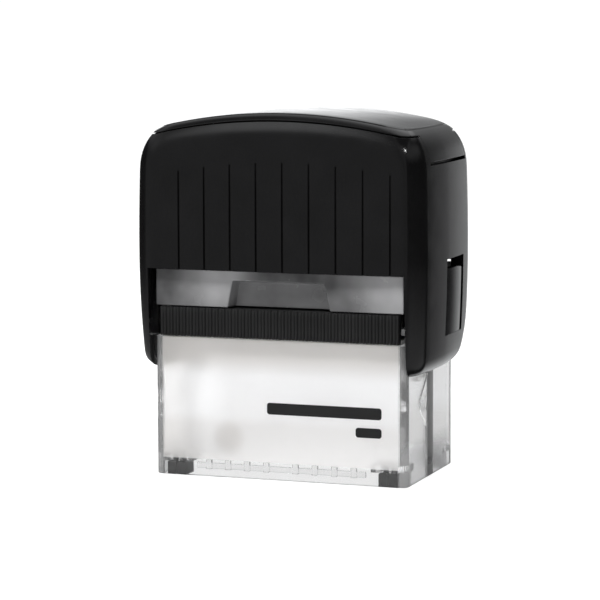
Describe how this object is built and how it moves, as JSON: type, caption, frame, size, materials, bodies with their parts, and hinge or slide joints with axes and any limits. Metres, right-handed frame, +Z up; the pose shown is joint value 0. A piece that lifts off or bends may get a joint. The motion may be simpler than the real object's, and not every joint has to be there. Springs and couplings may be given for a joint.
{
  "type": "self-inking stamp",
  "caption": "Self-inking stamp: a sprung black cap slides over a clear base and flips the text plate from its ink pad down to the paper; the ink cassette slides out at the front.",
  "frame": {"origin": "middle of the footprint, on the table surface", "axes": "+X to the right, front face with the ink cassette towards -Y, +Z up; rest pose is cap up, die against the ink pad"},
  "size_m": [0.0786, 0.0486, 0.0944],
  "materials": {
    "black_gloss": "glossy moulded black",
    "black_matt": "satin moulded black",
    "clear_plastic": "clear, lightly frosted inside",
    "fascia_gloss": "glossy smoke grey",
    "foot_rubber": "matt",
    "die_rubber": "matt grey laser rubber",
    "die_foam": "soft foam",
    "ink_felt": "ink-soaked felt",
    "white_plastic": "natural acetal",
    "spring_steel": "bright drawn wire",
    "card_paper": "white card"
  },
  "bodies": {
    "base": {"base_frame": "clear_plastic", "foot_front_left": "foot_rubber", "foot_front_right": "foot_rubber", "foot_rear_left": "foot_rubber", "foot_rear_right": "foot_rubber", "rear_fascia": "fascia_gloss", "spring_seat": "white_plastic", "return_spring": "spring_steel"},
    "cap": {"cap_shell": "black_gloss", "spring_boss": "white_plastic", "index_card": "card_paper", "left_axle_pin": "white_plastic", "right_axle_pin": "white_plastic"},
    "carriage": {"die_carriage": "white_plastic", "die_cushion": "die_foam", "text_plate": "die_rubber", "left_cam_follower": "white_plastic", "right_cam_follower": "white_plastic"},
    "cassette": {"cassette_tray": "black_matt", "ink_pad": "ink_felt", "cassette_grip": "black_matt", "cassette_fascia": "fascia_gloss"},
    "left_tongue": {"left_release_tongue": "black_gloss"},
    "right_tongue": {"right_release_tongue": "black_gloss"},
    "cover": {"top_cover": "black_gloss"}
  },
  "joints": [
    {"name": "cap_press", "type": "slide", "parent": "base", "child": "cap", "axis": [0, 0, 1], "range_m": [-0.028, 0], "stiffness_N_per_m": 400, "springref_m": 0.02, "deforming": ["return_spring"]},
    {"name": "carriage_flip", "type": "hinge", "parent": "cap", "child": "carriage", "pos_m": [0, 0, 0.0338], "axis": [1, 0, 0], "range_deg": [-180, 0]},
    {"name": "cassette_slide", "type": "slide", "parent": "base", "child": "cassette", "axis": [0, -1, 0], "range_m": [0, 0.045]},
    {"name": "left_tongue_flex", "type": "hinge", "parent": "cap", "child": "left_tongue", "pos_m": [-0.0377, 0.005, 0.0371], "axis": [0, 1, 0], "range_deg": [0, 5], "stiffness_Nm_per_rad": 0.5},
    {"name": "right_tongue_flex", "type": "hinge", "parent": "cap", "child": "right_tongue", "pos_m": [0.0377, 0.005, 0.0371], "axis": [0, -1, 0], "range_deg": [0, 5], "stiffness_Nm_per_rad": 0.5},
    {"name": "cover_lift", "type": "slide", "parent": "cap", "child": "cover", "axis": [0, 0, 1], "range_m": [0, 0.02]}
  ],
  "couplings": [
    {"joint": "carriage_flip", "follows": "cap_press", "rad_per_m": 112.19}
  ]
}
